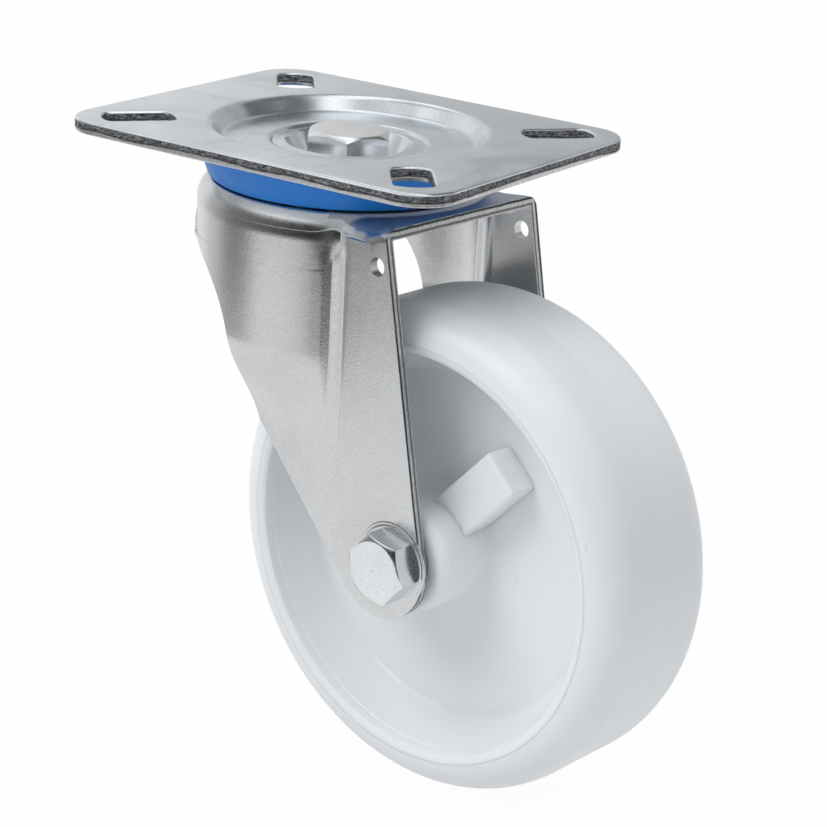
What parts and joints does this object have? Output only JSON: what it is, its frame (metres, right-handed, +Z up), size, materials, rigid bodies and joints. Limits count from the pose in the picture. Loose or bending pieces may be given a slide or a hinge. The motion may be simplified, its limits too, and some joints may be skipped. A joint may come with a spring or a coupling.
{
  "type": "swivel plate castor",
  "caption": "Swivel castor: slotted mounting plate with a pressed dish, ball-bearing swivel, pressed sheet fork and solid nylon wheel.",
  "frame": {"origin": "on the swivel axis, level with the mounting face of the plate", "axes": "+Z up out of the mounting face, +X along the plate's long side towards the trailing wheel, +Y along its short side"},
  "size_m": [0.1982, 0.11, 0.1905],
  "materials": {
    "zinc_sheet": "satin zinc plating",
    "bright_zinc": "bright zinc plating",
    "ball_steel": "polished",
    "seal_plastic": "satin blue",
    "wheel_nylon": "satin white",
    "locking_nylon": "satin"
  },
  "bodies": {
    "castor_plate": {"top_plate": "zinc_sheet", "king_bolt": "bright_zinc", "king_nut": "bright_zinc", "king_nut_ring": "locking_nylon", "distance_bush": "zinc_sheet", "lower_race": "zinc_sheet", "dust_seal": "seal_plastic"},
    "upper_ball_row": {"upper_balls": "ball_steel"},
    "lower_ball_row": {"lower_balls": "ball_steel"},
    "swivel_fork": {"fork": "zinc_sheet", "axle_bolt": "bright_zinc", "axle_nut": "bright_zinc", "axle_nut_ring": "locking_nylon", "axle_tube": "zinc_sheet"},
    "road_wheel": {"wheel": "wheel_nylon"}
  },
  "joints": [
    {"name": "swivel", "type": "hinge", "parent": "castor_plate", "child": "swivel_fork", "pos_m": [0, 0, 0], "axis": [0, 0, 1], "continuous": true},
    {"name": "upper_row_turn", "type": "hinge", "parent": "castor_plate", "child": "upper_ball_row", "pos_m": [0, 0, 0], "axis": [0, 0, 1], "continuous": true},
    {"name": "lower_row_turn", "type": "hinge", "parent": "castor_plate", "child": "lower_ball_row", "pos_m": [0, 0, 0], "axis": [0, 0, 1], "continuous": true},
    {"name": "wheel_spin", "type": "hinge", "parent": "swivel_fork", "child": "road_wheel", "pos_m": [0.05461, -0.00651, -0.1155], "axis": [0.1184, 0.993, 0], "continuous": true}
  ],
  "couplings": [
    {"joint": "upper_row_turn", "follows": "swivel", "ratio": 0.5},
    {"joint": "lower_row_turn", "follows": "swivel", "ratio": 0.5}
  ]
}
